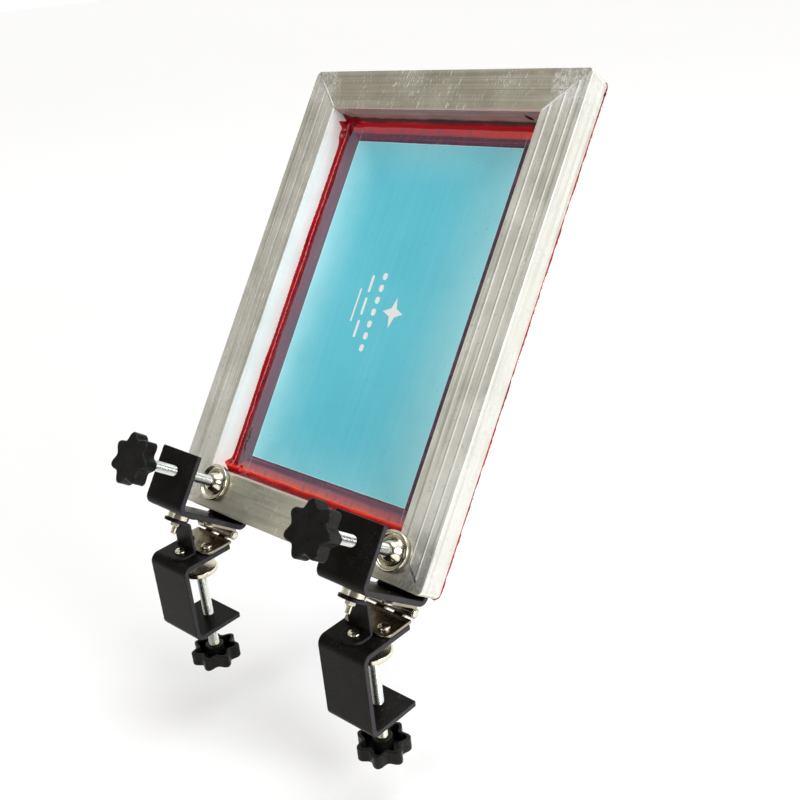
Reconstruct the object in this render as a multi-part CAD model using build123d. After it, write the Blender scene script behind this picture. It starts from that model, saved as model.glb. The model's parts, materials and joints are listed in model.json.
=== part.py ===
from build123d import *
import os
from math import cos, pi, radians, sin

# Screen printing frame held open in a pair of table clamps with hinges.
# Row frame: X runs along the table's edge, +Y goes inwards over the table, +Z is up. The origin is on
# the table's top edge, midway between the clamps, so z = 0 is the table top and y = 0 its edge.

# ---------------------------------------------------------------- driving dimensions, mm and degrees
frame_width = 254.0  # 10 inch
frame_length = 355.6  # 14 inch
rail_width = 31.0
rail_depth = 20.0
rail_wall = 2.0
rail_edge = 0.5
groove_lines = (7.5, 15.5, 24.0)  # from the outer edge of each rail
groove_width = 0.8
groove_depth = 0.4
ground_along = 40.0  # how far the lower corners are ground smooth, along the bottom rail
ground_up = 17.0  # and up the side rails
frame_corner = 4.5
frame_shift = -5.5  # the frame's middle, from the middle of the two clamps
lean = 36.0  # the raised frame's angle from upright

mesh_thickness = 0.25
emulsion_width = 156.0
emulsion_length = 259.0
emulsion_thickness = 0.1
bead_width = 5.0
bead_height = 2.0
weld_radius = 1.1
weld_sunk = 0.7

clamp_spacing = 180.0
plate = 4.0  # thickness of the bent steel brackets
plate_width = 41.0
bend_outside = 6.5
bend_inside = 2.5
plate_edge = 0.4  # rounding of the brackets' and leaves' edges
table_jaw = 56.0
table_top_reach = 40.5
table_bottom_reach = 38.5
table_thickness = 12.7
frame_flange_gap = 39.5  # front flange to the frame's front face
frame_reach = 40.3
frame_end_gap = 4.0  # below the end of the frame, inside the bracket
flange_seat = 0.15  # back flange to the mesh

leaf = 2.0
leaf_length = 28.0
leaf_half_width = 20.0
leaf_corner = 6.0
hinge_y = 46.2
hinge_stand = 4.8  # pin axis above the bracket that a leaf lies on
hinge_behind = 16.0  # pin axis behind the frame's front face
knuckle_radius = 3.5
pin_radius = 2.0
pin_clearance = 0.05
knuckle_length = 8.0
knuckle_gap = 0.3
leaf_screw_x = 11.0
leaf_screw_from_pin = 20.0

tab_half_width = 9.5
tab_thickness = 2.0
tab_wall_y = 17.0
tab_screw_y = 10.0
magnet_radius = 8.0
magnet_height = 5.2
magnet_air = 0.1
magnet_along = 25.0  # magnet axis in front of the frame's front face
magnet_disc_radius = 5.6
magnet_disc_height = 3.0
stud_length = 9.0
stud_radius = 2.0
nut_across_flats = 7.0
nut_height = 3.2

screw_radius = 4.0  # M8
screw_pitch = 1.25
thread_clearance = 0.05
table_screw_y = 23.5
frame_screw_up = 20.5
pad_radius = 14.0
pad_height = 8.0
pad_air = 0.05
nose_radius = 3.0
nose_length = 4.0
knob_to_pad = 74.5  # pad face to the rim of the knob
knob_radius = 16.9
knob_lobe = 2.3
knob_lobes = 7
knob_rim = 11.0
knob_skin = 2.6
hub_radius = 7.0
hub_proud = 3.0
screw_in_knob = 9.0

pan_radius = 4.0  # M4 pan head
pan_height = 2.3
pan_shank = 5.6
cross_depth = 1.3
cross_width = 1.1
cross_length = 4.6
small_hole_radius = 2.05

# ---------------------------------------------------------------- places worked out from them
tilt = radians(lean)
hinge_z = plate + hinge_stand
web_outside = -frame_end_gap - plate
hinge_along = web_outside - hinge_stand
seat_y = hinge_y - hinge_along * sin(tilt) - hinge_behind * cos(tilt)
seat_z = hinge_z - hinge_along * cos(tilt) + hinge_behind * sin(tilt)
# Local x, y, z on the seat are along the table's edge, up the frame, and out of its front face.
# The local origin is on the lower front edge of the frame.
seat = Plane(origin=(0, seat_y, seat_z), x_dir=(1, 0, 0), z_dir=(0, -cos(tilt), sin(tilt)))
clamps = {"left": -clamp_spacing / 2, "right": clamp_spacing / 2}
mesh_back = -rail_depth - mesh_thickness
flange_back = mesh_back - flange_seat
magnet_foot = web_outside - magnet_air - magnet_height

nodes = {}


def on_seat(along, out):
    """Row y and z of the point that far up the frame and that far out of its front face."""
    y = seat_y + along * sin(tilt) - out * cos(tilt)
    z = seat_z + along * cos(tilt) + out * sin(tilt)
    return y, z


def box(x_range, y_range, z_range):
    """A block between two values on each axis."""
    size = [high - low for low, high in (x_range, y_range, z_range)]
    middle = [(low + high) / 2 for low, high in (x_range, y_range, z_range)]
    return Pos(*middle) * Box(*size)


def rod(radius, low, high, x=0.0, y=0.0):
    """A cylinder along Z between two heights."""
    return Pos(x, y, (low + high) / 2) * Cylinder(radius, high - low)


# ---------------------------------------------------------------- the screen
def window_ring(outer_inset, inner_inset, low, high):
    """A rectangular ring between two distances in from the frame's outer edge."""
    outer = Rectangle(frame_width - 2 * outer_inset, frame_length - 2 * outer_inset)
    inner = Rectangle(frame_width - 2 * inner_inset, frame_length - 2 * inner_inset)
    centre = Pos(frame_shift, frame_length / 2, low)
    return centre * extrude(outer - inner, amount=high - low)


def frame_profile():
    """The whole welded frame as one ring: hollow rails with three grooves along the front."""
    outline = fillet(Rectangle(frame_width, frame_length).vertices(), frame_corner)
    window = Rectangle(frame_width - 2 * rail_width, frame_length - 2 * rail_width)
    ring = extrude(outline - window, amount=rail_depth)
    front_edges = ring.edges().group_by(Axis.Z)[-1]
    back_edges = ring.edges().group_by(Axis.Z)[0]
    ring = chamfer(front_edges + back_edges, rail_edge)
    ring = Pos(frame_shift, frame_length / 2, -rail_depth) * ring
    ring -= window_ring(rail_wall, rail_width - rail_wall, rail_wall - rail_depth, -rail_wall)
    half = groove_width / 2
    reach = frame_width / 2
    for line in groove_lines:
        groove = window_ring(line - half, line + half, -groove_depth, 1.0)
        for side in (-1, 1):
            end = side * (reach - ground_along)
            x_range = sorted((frame_shift + end, frame_shift + side * (reach + 1.0)))
            groove -= box(x_range, (-1.0, ground_up), (-1.0, 2.0))
        ring -= groove
    return ring


def weld_bead(side_x, side_y):
    """A bead along one mitre of the front face, from the inner corner two thirds of the way out."""
    inner = Vector(side_x * (frame_width / 2 - rail_width), side_y * (frame_length / 2 - rail_width))
    outward = Vector(side_x, side_y).normalized()
    start = inner + outward * 1.5
    length = rail_width * 0.9
    axis = Plane(origin=(start.X, start.Y, 0), x_dir=(0, 0, 1), z_dir=(outward.X, outward.Y, 0))
    bead = axis.location * extrude(Circle(weld_radius), amount=length)
    bead = Pos(frame_shift, frame_length / 2, -weld_sunk) * bead
    if side_y < 0:  # ground flush where the clamps' pads press
        bead -= box((-frame_width, frame_width), (-10.0, frame_length), (0, weld_radius))
    return bead


def mitre_sector(turn, along, away):
    """The part of the plan that belongs to one rail, cut at 45 degrees: the bottom rail's, turned."""
    spare = 12.0
    deep = rail_width + 6.0
    outline = [
        (-along - spare, -away - spare),
        (along + spare, -away - spare),
        (along - deep, deep - away),
        (deep - along, deep - away),
    ]
    sector = extrude(make_face(Polyline(*outline, close=True)), amount=rail_depth + 4.0)
    return Pos(frame_shift, frame_length / 2, -rail_depth - 2.0) * Rot(0, 0, turn) * sector


def add_screen():
    """Four mitred rails, their welds, the glue bead, the stretched mesh and the emulsion on it."""
    ring = frame_profile()
    welds = Compound([weld_bead(sx, sy) for sx in (-1, 1) for sy in (-1, 1)])
    for weld in welds.solids():
        ring -= weld
    half_w = frame_width / 2
    half_l = frame_length / 2
    sectors = {
        "bottom": mitre_sector(0, half_w, half_l),
        "right": mitre_sector(90, half_l, half_w),
        "top": mitre_sector(180, half_w, half_l),
        "left": mitre_sector(270, half_l, half_w),
    }
    for name, sector in sectors.items():
        nodes[name + "_rail"] = seat.location * (ring & sector)
    nodes["corner_welds"] = seat.location * welds
    bead = window_ring(rail_width, rail_width + bead_width, -rail_depth, bead_height - rail_depth)
    sheet = fillet(Rectangle(frame_width, frame_length).vertices(), frame_corner)
    mesh = Pos(frame_shift, frame_length / 2, mesh_back) * extrude(sheet, amount=mesh_thickness)
    coat = Pos(frame_shift, frame_length / 2, -rail_depth) * extrude(
        Rectangle(emulsion_width, emulsion_length), amount=emulsion_thickness
    )
    nodes["glue_bead"] = seat.location * bead
    nodes["mesh"] = seat.location * mesh
    nodes["emulsion"] = seat.location * coat


# ---------------------------------------------------------------- pieces of a clamp, at x = 0
def bent_bracket(jaw, top_reach, bottom_reach):
    """A plate bent into a C, its inner corner at y = 0, z = 0 and its jaw below, open towards +Y."""
    reach = max(top_reach, bottom_reach)
    outer = Rectangle(reach + plate, jaw + 2 * plate, align=(Align.MIN, Align.MIN))
    outer = Pos(-plate, -jaw - plate) * fillet(outer.vertices().group_by(Axis.X)[0], bend_outside)
    inner = Rectangle(reach + 1.0, jaw, align=(Align.MIN, Align.MIN))
    inner = Pos(0, -jaw) * fillet(inner.vertices().group_by(Axis.X)[0], bend_inside)
    bracket = extrude(Plane.YZ * (outer - inner), amount=plate_width / 2, both=True)
    half = plate_width / 2 + 1.0
    bracket -= box((-half, half), (bottom_reach, reach + 1.0), (-jaw - plate - 1.0, -jaw / 2))
    bracket -= box((-half, half), (top_reach, reach + 1.0), (-jaw / 2, plate + 1.0))
    corners = bracket.edges().filter_by(Axis.Z).filter_by(lambda edge: edge.length < plate + 0.1)
    bracket = fillet(corners, 1.2)
    by_side = bracket.edges().group_by(Axis.X)
    return chamfer(by_side[0] + by_side[-1], plate_edge)


def small_holes(shape, places, low, high):
    """Cuts the M4 holes of a bracket or leaf."""
    for x, y in places:
        shape -= rod(small_hole_radius, low, high, x, y)
    return shape


def pan_screw():
    """An M4 cross-recessed pan head screw, standing on z = 0 with its shank below."""
    head = fillet(rod(pan_radius, 0, pan_height).edges().group_by(Axis.Z)[-1], 1.4)
    shank = rod(stud_radius, -pan_shank, 0)
    shank = chamfer(shank.edges().group_by(Axis.Z)[0], 0.5)
    low = pan_height - cross_depth
    long = cross_length / 2
    wide = cross_width / 2
    cross = box((-long, long), (-wide, wide), (low, pan_height + 1.0))
    cross += box((-wide, wide), (-long, long), (low, pan_height + 1.0))
    return head + shank - cross


def hinge_leaf(knuckles, gaps):
    """A leaf lying on z = 0 with the pin's axis at y = 0, z = hinge_stand, reaching towards -Y."""
    sheet = Rectangle(2 * leaf_half_width, leaf_length, align=(Align.CENTER, Align.MAX))
    sheet = fillet(sheet.vertices().group_by(Axis.Y)[0], leaf_corner)
    part = extrude(sheet, amount=leaf)
    part = fillet(part.edges().group_by(Axis.Z)[-1], plate_edge)
    notch = knuckle_radius + 0.4
    for low, high in gaps:
        part -= box((low, high), (-notch, 1.0), (-1.0, leaf + 1.0))
    for low, high in knuckles:
        curl = box((low, high), (-knuckle_radius, 0), (0, hinge_stand))
        centre = Pos((low + high) / 2, 0, hinge_stand) * Rot(0, 90, 0)
        hollow = Pos((low + high) / 2, -knuckle_radius, hinge_stand) * Rot(0, 90, 0)
        part += curl - hollow * Cylinder(hinge_stand - leaf, high - low)
        part += centre * Cylinder(knuckle_radius, high - low)
    bore = Pos(0, 0, hinge_stand) * Rot(0, 90, 0) * Cylinder(pin_radius + pin_clearance, 100.0)
    part -= bore
    places = [(side * leaf_screw_x, -leaf_screw_from_pin) for side in (-1, 1)]
    return small_holes(part, places, -1.0, leaf + 1.0)


def knuckle_spans(indices):
    """The x ranges of the hinge's knuckles with these numbers, counted from 0 to 4."""
    spans = []
    for index in indices:
        start = -leaf_half_width + index * knuckle_length
        low = start if index == 0 else start + knuckle_gap / 2
        high = start + knuckle_length if index == 4 else start + knuckle_length - knuckle_gap / 2
        spans.append((low, high))
    return spans


def gap_spans(indices):
    """The x ranges cut out of a leaf where the other leaf's knuckles turn."""
    spans = []
    for index in indices:
        start = -leaf_half_width + index * knuckle_length
        low = start - 1.0 if index == 0 else start - knuckle_gap / 2
        high = start + knuckle_length + (1.0 if index == 4 else knuckle_gap / 2)
        spans.append((low, high))
    return spans


def hinge_pin():
    """The hinge's pin, riveted over a little at both ends."""
    half = leaf_half_width + 0.1
    pin = Rot(0, 90, 0) * Cylinder(pin_radius, 2 * half)
    for side in (-1, 1):
        head = Rot(0, 90, 0) * Cylinder(pin_radius + 0.5, 0.7)
        head = chamfer(head.edges().group_by(Axis.X)[-1 if side > 0 else 0], 0.3)
        pin += Pos(side * (half + 0.35), 0, 0) * head
    return Pos(0, hinge_y, hinge_z) * pin


def magnet_bracket():
    """The bent strip that stands on the table bracket and carries the magnet parallel to the frame."""
    end_y = tab_screw_y - tab_half_width
    wall_out = tab_wall_y - tab_thickness
    top = magnet_foot
    under = magnet_foot - tab_thickness
    out_top = (seat_y + top * sin(tilt) - tab_wall_y) / cos(tilt)
    out_under = (seat_y + under * sin(tilt) - wall_out) / cos(tilt)
    out_end = magnet_along + tab_half_width
    outline = [
        (end_y, plate),
        (tab_wall_y, plate),
        on_seat(top, out_top),
        on_seat(top, out_end),
        on_seat(under, out_end),
        on_seat(under, out_under),
        (wall_out, plate + tab_thickness),
        (end_y, plate + tab_thickness),
    ]
    face = make_face(Polyline(*outline, close=True))
    outside = [vertex for vertex in face.vertices() if is_near(vertex, (outline[1], outline[2]))]
    face = fillet(outside, 3.0)
    inside = [vertex for vertex in face.vertices() if is_near(vertex, (outline[5], outline[6]))]
    face = fillet(inside, 1.0)
    strip = extrude(Plane.YZ * face, amount=tab_half_width, both=True)
    wide = tab_half_width + 1.0
    foot = box((-wide, wide), (end_y - 1.0, tab_screw_y), (plate - 1.0, plate + tab_thickness + 1.0))
    strip -= foot - rod(tab_half_width, 0, 20.0, 0, tab_screw_y)
    tip = box((-wide, wide), (under - 1.0, top + 1.0), (magnet_along, out_end + 1.0))
    tip -= Pos(0, (top + under) / 2, magnet_along) * Rot(90, 0, 0) * Cylinder(tab_half_width, 8.0)
    strip -= seat.location * tip
    strip -= rod(small_hole_radius, 0, 10.0, 0, tab_screw_y)
    stud_hole = Pos(0, (top + under) / 2, magnet_along) * Rot(90, 0, 0) * Cylinder(small_hole_radius, 8.0)
    return strip - seat.location * stud_hole


def is_near(vertex, places):
    """Whether a vertex of an outline lies at one of these points."""
    return any(abs(vertex.X - x) + abs(vertex.Y - y) < 0.01 for x, y in places)


def along_seat(shape):
    """Stands a shape made along +Z up on the seat's +Y, the way the magnet faces."""
    return Pos(0, 0, magnet_along) * Rot(-90, 0, 0) * shape


def magnet_cup():
    """The steel cup of the pot magnet with its stud, its foot on z = 0."""
    cup = rod(magnet_radius, 0, magnet_height)
    cup = fillet(cup.edges().group_by(Axis.Z)[0], 0.8)
    cup = chamfer(cup.edges().group_by(Axis.Z)[-1], 0.3)
    cup -= rod(magnet_disc_radius + 0.4, magnet_height - magnet_disc_height, magnet_height + 1.0)
    stud = chamfer(rod(stud_radius, -stud_length - tab_thickness, 0.5).edges().group_by(Axis.Z)[0], 0.5)
    return cup + stud


def hex_nut():
    """An M4 nut below z = 0, chamfered on its outer face."""
    across = nut_across_flats / 3**0.5
    nut = extrude(RegularPolygon(across, 6), amount=-nut_height)
    cone = Pos(0, 0, -nut_height / 2) * Cylinder(across, nut_height)
    nut = nut & chamfer(cone.edges().group_by(Axis.Z)[0], 0.6)
    return nut - rod(stud_radius + 0.03, -nut_height - 1.0, 1.0)


def swivel_pad():
    """A pressed dish, its clamping face on z = 0 and its socket towards +Z."""
    points = [
        (0.0, 0.0),
        (pad_radius - 1.0, 0.0),
        (pad_radius, 1.0),
        (pad_radius, 3.6),
        (pad_radius - 1.3, 4.2),
        (pad_radius - 2.6, 3.4),
        (pad_radius - 4.6, 1.8),
        (7.6, 1.8),
        (6.2, 4.0),
        (5.4, pad_height - 0.6),
        (4.8, pad_height),
        (nose_radius + pin_clearance, pad_height),
        (nose_radius + pin_clearance, pad_height - nose_length - 0.2),
        (0.0, pad_height - nose_length - 0.2),
    ]
    face = Plane.XZ * make_face(Polyline(*points, close=True))
    return revolve(face, Axis.Z)


def clamp_screw():
    """The M8 screw from its nose in the pad to its end inside the knob; its threads are plain here."""
    nose_low = pad_height - nose_length
    end = knob_to_pad + screw_in_knob - hub_proud
    shank = rod(screw_radius, pad_height, end)
    shank = chamfer(shank.edges().group_by(Axis.Z)[0], 0.8)
    nose = rod(nose_radius, nose_low, pad_height + 0.5)
    return shank + nose


def star_outline(grow):
    """The knob's lobed outline, as a closed curve about the axis."""
    points = []
    steps = knob_lobes * 8
    for step in range(steps):
        angle = 2 * pi * step / steps
        radius = knob_radius + grow + knob_lobe * cos(knob_lobes * angle)
        points.append((radius * cos(angle), radius * sin(angle)))
    return make_face(Spline(*points, periodic=True))


def star_knob():
    """A moulded knob, hollow behind its face, with a hub around the screw."""
    rim = knob_to_pad
    face = rim + knob_rim
    body = Pos(0, 0, rim) * extrude(star_outline(0.0), amount=knob_rim)
    body = fillet(body.edges().group_by(Axis.Z)[-1], 1.6)
    body = fillet(body.edges().group_by(Axis.Z)[0], 0.6)
    body -= Pos(0, 0, rim - 1.0) * extrude(star_outline(-knob_skin), amount=knob_rim - knob_skin + 1.0)
    hub = rod(hub_radius, rim - hub_proud, face - knob_skin / 2)
    hub = chamfer(hub.edges().group_by(Axis.Z)[0], 0.5)
    return body + hub - rod(screw_radius, rim - hub_proud - 1.0, knob_to_pad + screw_in_knob - hub_proud)


# ---------------------------------------------------------------- a whole clamp
def add_clamp(side, x):
    """One table clamp with its hinge, magnet catch and frame clamp."""
    leaf_screws = [(place * leaf_screw_x, -leaf_screw_from_pin) for place in (-1, 1)]

    # Pieces that stay on the table.
    fixed = {}
    bracket = bent_bracket(table_jaw, table_top_reach, table_bottom_reach)
    holes = [(sx, hinge_y + sy) for sx, sy in leaf_screws] + [(0.0, tab_screw_y)]
    bracket = small_holes(bracket, holes, -1.0, plate + 1.0)
    tapped = screw_radius + thread_clearance
    bracket -= rod(tapped, -table_jaw - plate - 1.0, -table_jaw + 1.0, 0, table_screw_y)
    bracket -= Pos(0, -plate - 0.6, plate + 0.6) * Sphere(4.0)
    fixed["table_bracket"] = bracket
    lower = hinge_leaf(knuckle_spans((1, 3)), gap_spans((0, 2, 4)))
    fixed["lower_leaf"] = Pos(0, hinge_y, plate) * lower
    fixed["hinge_pin"] = hinge_pin()
    screws = [Pos(sx, hinge_y + sy, plate + leaf) * pan_screw() for sx, sy in leaf_screws]
    fixed["lower_leaf_screws"] = Compound(screws)
    fixed["magnet_bracket"] = magnet_bracket()
    fixed["magnet_bracket_screw"] = Pos(0, tab_screw_y, plate + tab_thickness) * Rot(0, 0, 45) * pan_screw()
    foot = Pos(0, magnet_foot, 0)
    fixed["magnet_cup"] = seat.location * foot * along_seat(magnet_cup())
    disc = rod(magnet_disc_radius, magnet_height - magnet_disc_height, magnet_height)
    fixed["magnet_disc"] = seat.location * foot * along_seat(disc)
    under = Pos(0, -tab_thickness, 0)
    fixed["magnet_nut"] = seat.location * foot * under * along_seat(hex_nut())
    screw_place = Pos(0, table_screw_y, -table_thickness) * Rot(180, 0, 0)
    fixed["table_pad"] = screw_place * swivel_pad()
    fixed["table_screw"] = screw_place * clamp_screw()
    fixed["table_knob"] = screw_place * Rot(0, 0, 10) * star_knob()
    for name, shape in fixed.items():
        nodes[side + "_" + name] = Pos(x, 0, 0) * shape

    # Pieces that swing with the frame, made on the seat.
    swinging = {}
    jaw = frame_flange_gap - flange_back
    channel = bent_bracket(jaw, frame_reach, frame_reach)
    channel = Pos(0, -frame_end_gap, frame_flange_gap) * channel
    front = frame_flange_gap
    channel -= rod(screw_radius + thread_clearance, front - 1.0, front + plate + 1.0, 0, frame_screw_up)
    for place in (-1, 1):
        middle = Pos(place * leaf_screw_x, -frame_end_gap - plate / 2, leaf_screw_from_pin - hinge_behind)
        channel -= middle * Rot(90, 0, 0) * Cylinder(small_hole_radius, plate + 2.0)
    swinging["frame_bracket"] = channel
    onto_web = Pos(0, web_outside, -hinge_behind) * Rot(90, 0, 0) * Rot(0, 0, 180)
    upper = hinge_leaf(knuckle_spans((0, 2, 4)), gap_spans((1, 3)))
    swinging["upper_leaf"] = onto_web * upper
    screws = [onto_web * Pos(sx, sy, leaf) * pan_screw() for sx, sy in leaf_screws]
    swinging["upper_leaf_screws"] = Compound(screws)
    screw_place = Pos(0, frame_screw_up, pad_air)
    swinging["frame_pad"] = screw_place * swivel_pad()
    swinging["frame_screw"] = screw_place * clamp_screw()
    swinging["frame_knob"] = screw_place * star_knob()
    for name, shape in swinging.items():
        nodes[side + "_" + name] = seat.location * Pos(x, 0, 0) * shape


add_screen()
for clamp_side, clamp_x in clamps.items():
    add_clamp(clamp_side, clamp_x)

os.makedirs("parts", exist_ok=True)
for node_name, node_shape in nodes.items():
    export_step(node_shape, "parts/" + node_name + ".step")
print(len(nodes), "nodes; seat", round(seat_y, 3), round(seat_z, 3), "hinge", hinge_y, hinge_z)
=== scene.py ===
import json
import random
from math import ceil, copysign, cos, exp, floor, hypot, pi, radians, sin

import bmesh
import bpy
from mathutils import Matrix, Vector, noise


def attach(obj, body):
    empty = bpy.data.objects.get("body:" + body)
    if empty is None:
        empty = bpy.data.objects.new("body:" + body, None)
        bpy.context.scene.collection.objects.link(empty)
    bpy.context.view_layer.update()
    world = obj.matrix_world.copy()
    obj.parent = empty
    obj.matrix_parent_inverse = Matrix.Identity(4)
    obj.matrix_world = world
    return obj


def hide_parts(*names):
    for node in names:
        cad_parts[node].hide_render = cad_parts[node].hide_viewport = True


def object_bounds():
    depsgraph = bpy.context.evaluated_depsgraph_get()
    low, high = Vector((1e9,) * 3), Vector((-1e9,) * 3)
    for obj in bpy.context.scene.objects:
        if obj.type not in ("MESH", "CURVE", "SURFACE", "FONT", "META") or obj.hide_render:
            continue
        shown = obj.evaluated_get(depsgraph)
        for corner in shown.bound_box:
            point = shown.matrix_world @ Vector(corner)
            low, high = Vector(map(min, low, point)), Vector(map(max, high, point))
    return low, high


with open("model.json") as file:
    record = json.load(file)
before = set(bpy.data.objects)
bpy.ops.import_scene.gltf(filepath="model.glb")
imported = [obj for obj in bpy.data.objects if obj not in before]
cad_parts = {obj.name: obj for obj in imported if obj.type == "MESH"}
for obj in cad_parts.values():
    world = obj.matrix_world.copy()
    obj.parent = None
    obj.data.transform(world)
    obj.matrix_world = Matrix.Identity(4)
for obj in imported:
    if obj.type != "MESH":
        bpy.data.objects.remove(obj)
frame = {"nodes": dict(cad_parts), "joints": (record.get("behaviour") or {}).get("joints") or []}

# Looks of the screen printing frame: brushed rails, stretched mesh, glue, emulsion, clamps and their
# hardware. Lengths are metres; MM turns millimetres into them.
MM = 0.001
cad_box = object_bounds()
nodes = frame["nodes"]
joints = {joint["name"]: joint for joint in frame["joints"]}
SIDES = ("left", "right")

# ---------------------------------------------------------------- the screen's own axes, from the frame
ACROSS = Vector((1, 0, 0))
UP = Vector(joints["screen_slide"]["axis"]).normalized()
OUT = ACROSS.cross(UP)
DOWN = Vector((0, 0, -1))
CLAMPS = [(f"{side}_{clamp}", way) for side in SIDES for clamp, way in (("table", DOWN), ("frame", OUT))]


def reach(node, direction):
    """The lowest and highest reach of a CAD node along a direction."""
    along = [vertex.co.dot(direction) for vertex in nodes[node].data.vertices]
    return min(along), max(along)


def middle(node, direction):
    """The middle of a CAD node along a direction."""
    return sum(reach(node, direction)) / 2


def half_span(node, direction):
    """Half a CAD node's size along a direction."""
    low, high = reach(node, direction)
    return (high - low) / 2


def axes_at(origin, x_axis, y_axis, z_axis):
    """The matrix of a local frame with these axes."""
    turned = Matrix((x_axis, y_axis, z_axis)).transposed().to_4x4()
    return Matrix.Translation(origin) @ turned


def on_axis(node, z_axis, height=None):
    """A local frame on a round node's axis, at a height, or at the node's end that z_axis points from."""
    y_axis = z_axis.cross(ACROSS)
    height = reach(node, z_axis)[0] if height is None else height
    origin = ACROSS * middle(node, ACROSS) + y_axis * middle(node, y_axis) + z_axis * height
    return axes_at(origin, ACROSS, y_axis, z_axis)


HALF_W, HALF_L = half_span("mesh", ACROSS), half_span("mesh", UP)
WINDOW_W, WINDOW_L = half_span("glue_bead", ACROSS), half_span("glue_bead", UP)
COAT_W, COAT_L = half_span("emulsion", ACROSS), half_span("emulsion", UP)
FRONT = reach("left_rail", OUT)[1]
CLOTH = 2 * half_span("mesh", OUT)
# In the screen's frame x is across, y is up the frame and z is out of its front face, which is z = 0.
CENTRE = ACROSS * middle("mesh", ACROSS) + UP * middle("mesh", UP) + OUT * FRONT
SCREEN = axes_at(CENTRE, ACROSS, UP, OUT)
CLOTH_Z = reach("mesh", OUT)[1] - FRONT
CORNER = 4.5 * MM  # radius of the screen's outer corners
GROOVES = (7.5, 15.5, 24.0)  # the rails' drawn grooves, millimetres in from the outer edge


# ---------------------------------------------------------------- small tools for meshes
def new_object(name, data):
    """An object linked into the scene."""
    made = bpy.data.objects.new(name, data)
    bpy.context.scene.collection.objects.link(made)
    return made


def new_piece(name, vertices, faces, matrix, body, slot, finish, sharp):
    """A mesh piece from points in a local frame, riding on a body, with its finish."""
    mesh = bpy.data.meshes.new(name)
    mesh.from_pydata([tuple(point) for point in vertices], [], faces)
    mesh.validate()
    mesh.update()
    return place_mesh(name, mesh, matrix, body, finish, sharp)


def place_mesh(name, mesh, matrix, body, finish, sharp=None):
    """Puts a mesh into the scene as a piece, smooth up to an angle in degrees, or flat without one."""
    work = bmesh.new()
    work.from_mesh(mesh)
    bmesh.ops.recalc_face_normals(work, faces=work.faces)
    work.to_mesh(mesh)
    work.free()
    if sharp is not None:
        mesh.shade_smooth()
        mesh.set_sharp_from_angle(angle=radians(sharp))
    piece = new_object(name, mesh)
    piece.matrix_world = matrix
    mesh.materials.append(finish)
    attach(piece, body)
    return piece


def glue_piece(name, vertices, faces, finish, sharp):
    """A piece of glue on the screen."""
    return new_piece(name, vertices, faces, SCREEN, "screen", "mesh_glue", finish, sharp)


def held(value, limit):
    """A value kept between a limit and its negative."""
    return max(-limit, min(limit, value))


def bell(away, wide):
    """A smooth hump that is 1 at 0 and falls away over a width."""
    return exp(-((away / wide) ** 2))


def softened(points, rounds):
    """An open outline with its corners cut again and again, which keeps its two ends."""
    for _ in range(rounds):
        cut = [points[0]]
        for (ax, ay), (bx, by) in zip(points, points[1:]):
            cut.append((ax * 0.75 + bx * 0.25, ay * 0.75 + by * 0.25))
            cut.append((ax * 0.25 + bx * 0.75, ay * 0.25 + by * 0.75))
        cut.append(points[-1])
        points = cut
    return points


def skin(rings, capped=False):
    """Faces between rings of vertex numbers; a ring that repeats one number is a point."""
    faces = [list(ring) for ring in (rings[0], rings[-1]) if capped]
    for low, high in zip(rings, rings[1:]):
        for step in range(len(low)):
            after = (step + 1) % len(low)
            face = list(dict.fromkeys([low[step], low[after], high[after], high[step]]))
            if len(face) > 2:
                faces.append(face)
    return faces


def tube(vertices, around, first=0):
    """Faces round the vertices from a number on, which stand in rings, with both ends closed."""
    return skin([range(k, k + around) for k in range(first, len(vertices), around)], True)


def turned(rows):
    """Vertices and faces of rows of (radius, height) points round Z; a radius of 0 closes a row."""
    vertices, rings = [], []
    for row in rows:
        first, around = len(vertices), len(row)
        if row[0][0] < 1e-7:
            rings.append([first] * around)
            vertices.append((0, 0, row[0][1]))
            continue
        rings.append(range(first, first + around))
        for step, (radius, height) in enumerate(row):
            angle = 2 * pi * step / around
            vertices.append((radius * cos(angle), radius * sin(angle), height))
    return vertices, skin(rings)


def relief(cells, step, height, bottom):
    """A closed body over square cells of a grid: its top follows height(x, y), its bottom is flat."""
    vertices, index, faces = [], {}, []

    def corner(i, j, level):
        key = (i, j, level)
        if key not in index:
            x, y = i * step, j * step
            index[key] = len(vertices)
            vertices.append((x, y, height(x, y) if level else bottom))
        return index[key]

    for i, j in cells:
        ring = [(i, j), (i + 1, j), (i + 1, j + 1), (i, j + 1)]
        faces.append([corner(a, b, 1) for a, b in ring])
        faces.append([corner(a, b, 0) for a, b in reversed(ring)])
        sides = [(i, j - 1), (i + 1, j), (i, j + 1), (i - 1, j)]
        for number, beside in enumerate(sides):
            if beside not in cells:
                (a, b), (c, d) = ring[number], ring[(number + 1) % 4]
                faces.append([corner(c, d, 1), corner(a, b, 1), corner(a, b, 0), corner(c, d, 0)])
    return vertices, faces


# ---------------------------------------------------------------- small tools for materials
def wire(tree, value, socket):
    """Gives a socket another node's output, or a number or colour of its own."""
    if isinstance(value, Value):
        tree.links.new(value.socket, socket)
    else:
        socket.default_value = value


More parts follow.
